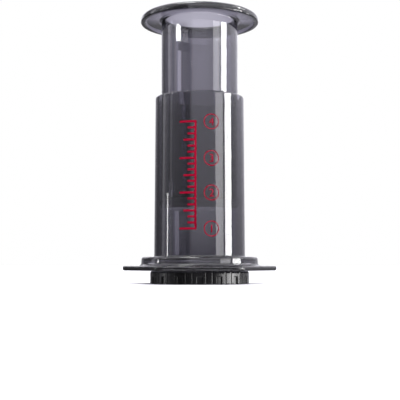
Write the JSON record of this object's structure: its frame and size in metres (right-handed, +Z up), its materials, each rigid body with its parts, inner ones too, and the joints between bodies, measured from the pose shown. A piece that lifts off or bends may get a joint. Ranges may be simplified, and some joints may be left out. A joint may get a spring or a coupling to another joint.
{
  "type": "piston coffee press",
  "caption": "Hand piston coffee press: smoked clear chamber with a hexagonal mug flange, hollow plunger with a rubber seal, and a bayonet cap that clamps a paper filter.",
  "frame": {"origin": "on the press's axis at the foot of the filter cap, which is the lowest point of the part", "axes": "+Z up along the plunger's axis, -Y towards the viewer of the picture (the side with the printed numbers), +X to the right with two corners of the hexagonal flange on the X axis"},
  "size_m": [0.1132, 0.1004, 0.1993],
  "materials": {
    "smoked_copolyester_chamber": "gloss",
    "smoked_copolyester_plunger": "gloss",
    "seal_rubber": "matte",
    "cap_polypropylene": "satin",
    "filter_paper": "matte"
  },
  "bodies": {
    "chamber": {"chamber": "smoked_copolyester_chamber"},
    "seal": {"plunger_seal": "seal_rubber"},
    "plunger": {"plunger_tube": "smoked_copolyester_plunger"},
    "filter": {"paper_filter": "filter_paper"},
    "cap": {"filter_cap": "cap_polypropylene"}
  },
  "joints": [
    {"name": "plunger_slide", "type": "slide", "parent": "chamber", "child": "seal", "axis": [0, 0, 1], "range_m": [-0.0507, 0.085]},
    {"name": "plunger_turn", "type": "hinge", "parent": "seal", "child": "plunger", "pos_m": [0, 0, 0.06], "axis": [0, 0, 1], "continuous": true},
    {"name": "cap_drop", "type": "slide", "parent": "chamber", "child": "filter", "axis": [0, 0, -1], "range_m": [0, 0.0012]},
    {"name": "cap_twist", "type": "hinge", "parent": "filter", "child": "cap", "pos_m": [0, 0, 0.004], "axis": [0, 0, -1], "range_deg": [0, 24]}
  ],
  "couplings": [
    {"joint": "cap_drop", "follows": "cap_twist", "m_per_rad": 0.002864}
  ]
}
